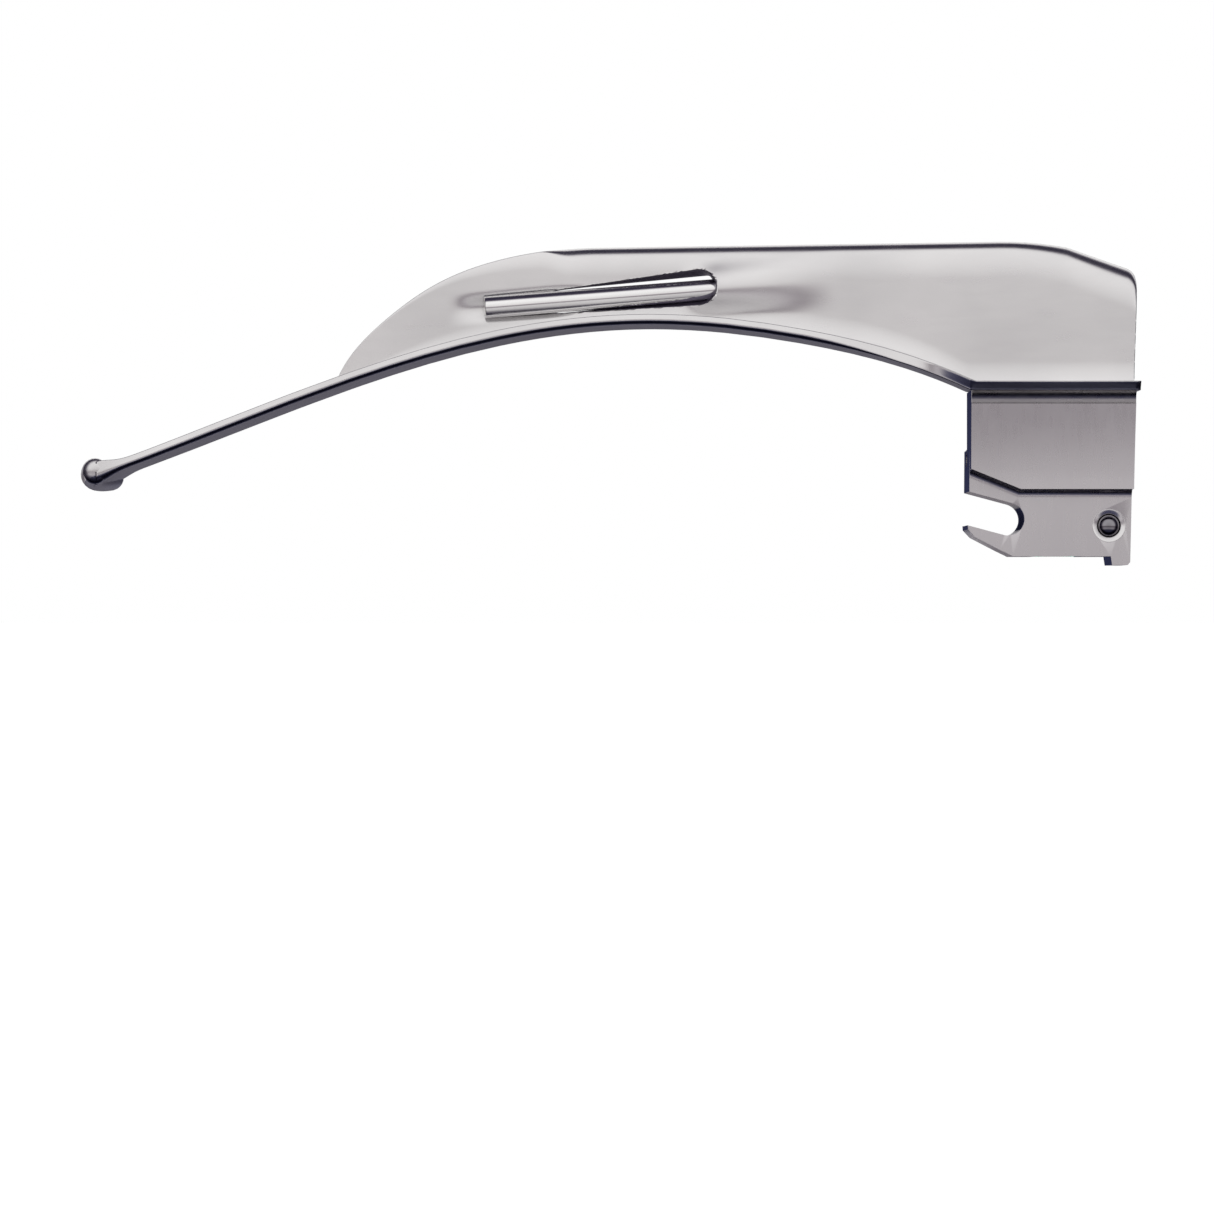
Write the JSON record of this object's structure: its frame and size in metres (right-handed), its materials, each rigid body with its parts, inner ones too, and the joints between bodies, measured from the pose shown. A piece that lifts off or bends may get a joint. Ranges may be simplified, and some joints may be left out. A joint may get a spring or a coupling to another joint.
{
  "type": "laryngoscope blade",
  "caption": "Curved laryngoscope blade with hook-on heel, ball detents and a removable light guide in a green block.",
  "frame": {"origin": "axis of the hook seat, midway across the hook fitting", "axes": "+X along the blade towards the heel, +Y towards the flange and light guide side, +Z away from the handle"},
  "size_m": [0.1567, 0.0247, 0.0485],
  "materials": {
    "heel_steel": "satin",
    "blade_steel": "satin",
    "braze_silver": "polished",
    "ring_steel": "satin",
    "ball_chrome": "polished",
    "spring_steel": "satin",
    "green_plastic": "satin",
    "tube_chrome": "polished",
    "fibre_glass": "polished",
    "pin_steel": "satin"
  },
  "bodies": {
    "blade": {"heel_block": "heel_steel", "spatula": "blade_steel", "web": "blade_steel", "braze_fillet": "braze_silver", "detent_ring_front": "ring_steel", "detent_ring_rear": "ring_steel", "detent_spring": "spring_steel", "guide_retaining_pin": "pin_steel"},
    "light_guide": {"guide_block": "green_plastic", "guide_tube": "tube_chrome", "fibre_bundle": "fibre_glass", "input_ferrule": "ring_steel"},
    "ball_front": {"detent_ball_front": "ball_chrome"},
    "ball_rear": {"detent_ball_rear": "ball_chrome"}
  },
  "joints": [
    {"name": "guide_swing", "type": "hinge", "parent": "blade", "child": "light_guide", "pos_m": [-0.056, -0.00291, 0.03335], "axis": [0.9936, 0.0782, 0.0819], "range_deg": [0, 45]},
    {"name": "ball_front_press", "type": "slide", "parent": "blade", "child": "ball_front", "axis": [0, 1, 0], "range_m": [0, 0.0005], "stiffness_N_per_m": 800, "springref_m": -0.0006, "deforming": ["detent_spring"]},
    {"name": "ball_rear_press", "type": "slide", "parent": "blade", "child": "ball_rear", "axis": [0, -1, 0], "range_m": [0, 0.0005], "stiffness_N_per_m": 800, "springref_m": -0.0006}
  ]
}
